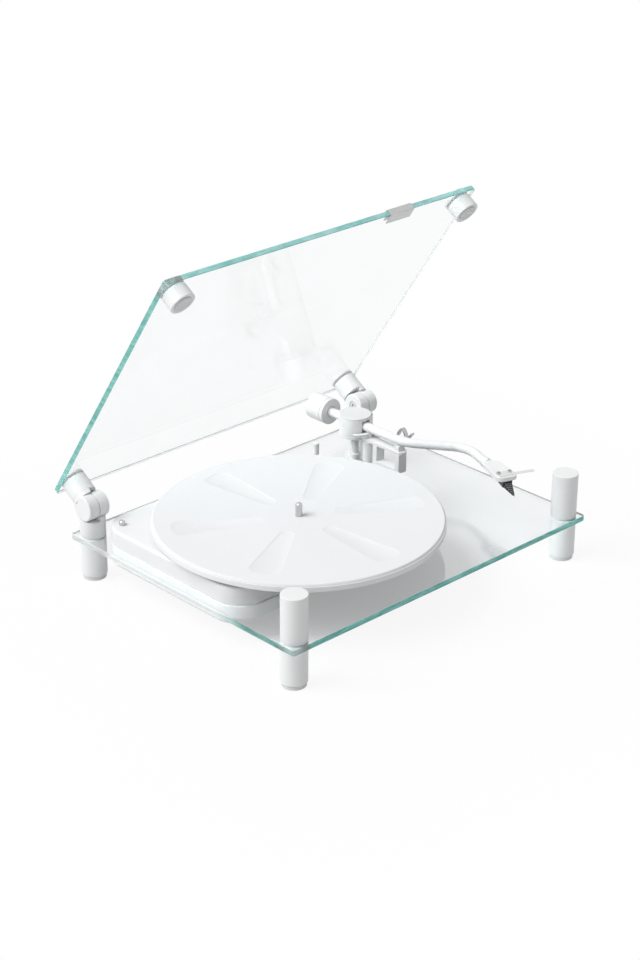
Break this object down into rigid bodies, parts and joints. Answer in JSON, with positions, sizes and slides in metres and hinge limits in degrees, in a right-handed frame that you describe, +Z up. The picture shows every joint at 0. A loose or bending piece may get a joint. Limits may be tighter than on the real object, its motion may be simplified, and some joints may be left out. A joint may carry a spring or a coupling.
{
  "type": "turntable",
  "caption": "Belt-driven record player on a clear glass base with column legs, an S-shaped arm and a hinged glass lid, shown open.",
  "frame": {"origin": "floor level under the middle of the object's box, with the lid open", "axes": "+X to the right seen from the front, +Y to the back, +Z up"},
  "size_m": [0.42, 0.3597, 0.3685],
  "materials": {
    "glass": "clear float glass with green edges",
    "white_metal": "satin white",
    "white_rubber": "matt",
    "clear_rubber": "matt",
    "grey_rubber": "matt",
    "steel": "turned",
    "brushed_metal": "brushed",
    "platter_white": "satin white",
    "mat_white": "matt white",
    "hub_white": "matt",
    "bearing_metal": "turned",
    "belt_rubber": "matt",
    "motor_metal": "satin",
    "white_plastic": "fine satin",
    "board_green": "lacquered",
    "dark_plastic": "matt",
    "nickel": "plated",
    "cartridge_black": "gloss"
  },
  "bodies": {
    "base": {"base_glass": "glass", "front_posts": "white_metal", "rear_left_post": "white_metal", "rear_right_post": "white_metal", "lower_legs": "white_metal", "rubber_feet": "white_rubber", "column_studs": "steel", "column_gaskets": "clear_rubber", "hinge_pins": "steel", "hinge_washers": "steel", "bearing_housing": "bearing_metal", "thrust_ball": "steel", "clamp_nuts": "bearing_metal", "drive_belt": "belt_rubber", "motor": "motor_metal", "upper_housing": "white_plastic", "lower_housing": "white_plastic", "housing_screws": "steel", "circuit_board": "board_green", "speed_switch": "dark_plastic", "phono_sockets": "nickel", "power_inlet": "dark_plastic", "arm_column": "white_metal", "arm_board": "white_metal", "lift_damper": "white_metal", "lift_frame": "white_metal", "arm_rest": "white_metal", "cue_lever_pin": "steel", "rear_peg": "white_metal"},
    "motor_rotor": {"motor_pulley": "bearing_metal", "motor_shaft": "steel"},
    "platter": {"platter": "platter_white", "platter_mat": "mat_white", "sub_platter": "hub_white", "spindle": "steel"},
    "lid": {"lid_glass": "glass", "left_lid_leg": "white_metal", "right_lid_leg": "white_metal", "lid_bumpers": "white_metal", "bumper_pads": "grey_rubber", "lid_caps": "white_metal", "lid_gaskets": "clear_rubber", "lid_handle": "brushed_metal"},
    "arm_swivel": {"swivel_housing": "white_metal", "swivel_cap": "white_metal", "gimbal_pins": "steel"},
    "tonearm": {"arm_carrier": "white_metal", "arm_tube": "white_metal", "headshell_collar": "white_metal", "headshell": "white_metal", "headshell_screws": "steel", "finger_lift": "brushed_metal", "cartridge_body": "cartridge_black", "stylus": "cartridge_black", "counterweight_shaft": "white_metal"},
    "counterweight": {"counterweight": "white_metal", "dial_ring": "white_metal"},
    "cue_lift": {"lift_bar": "white_metal"},
    "cue_lever": {"cue_lever": "brushed_metal"},
    "speed_knob": {"speed_knob": "brushed_metal"}
  },
  "joints": [
    {"name": "platter_spin", "type": "hinge", "parent": "base", "child": "platter", "pos_m": [-0.054, -0.02186, 0.0694], "axis": [0, 0, 1], "continuous": true},
    {"name": "pulley_spin", "type": "hinge", "parent": "base", "child": "motor_rotor", "pos_m": [-0.14, 0.00014, 0.0694], "axis": [0, 0, 1], "continuous": true},
    {"name": "lid_hinge", "type": "hinge", "parent": "base", "child": "lid", "pos_m": [0, 0.13764, 0.0805], "axis": [1, 0, 0], "range_deg": [0, 56.7]},
    {"name": "arm_swing", "type": "hinge", "parent": "base", "child": "arm_swivel", "pos_m": [0.131, 0.08414, 0.0934], "axis": [0, 0, -1], "range_deg": [0, 46]},
    {"name": "arm_lift", "type": "hinge", "parent": "arm_swivel", "child": "tonearm", "pos_m": [0.131, 0.08414, 0.0934], "axis": [-1, 0, 0], "range_deg": [0, 3]},
    {"name": "counterweight_turn", "type": "hinge", "parent": "tonearm", "child": "counterweight", "pos_m": [0.131, 0.13414, 0.0934], "axis": [0, 1, 0], "continuous": true},
    {"name": "cue_lever_turn", "type": "hinge", "parent": "base", "child": "cue_lever", "pos_m": [0.146, 0.06164, 0.0831], "axis": [-1, 0, 0], "range_deg": [0, 12]},
    {"name": "cue_lift_rise", "type": "slide", "parent": "base", "child": "cue_lift", "axis": [0, 0, 1], "range_m": [0, 0.00117]},
    {"name": "speed_knob_turn", "type": "hinge", "parent": "base", "child": "speed_knob", "pos_m": [-0.1808, 0.10524, 0.0684], "axis": [0, 0, 1], "range_deg": [-45, 45]}
  ],
  "couplings": [
    {"joint": "pulley_spin", "follows": "platter_spin", "ratio": 8.2368},
    {"joint": "arm_lift", "follows": "cue_lift_rise", "rad_per_m": 44.468},
    {"joint": "cue_lever_turn", "follows": "cue_lift_rise", "rad_per_m": 178.6}
  ]
}
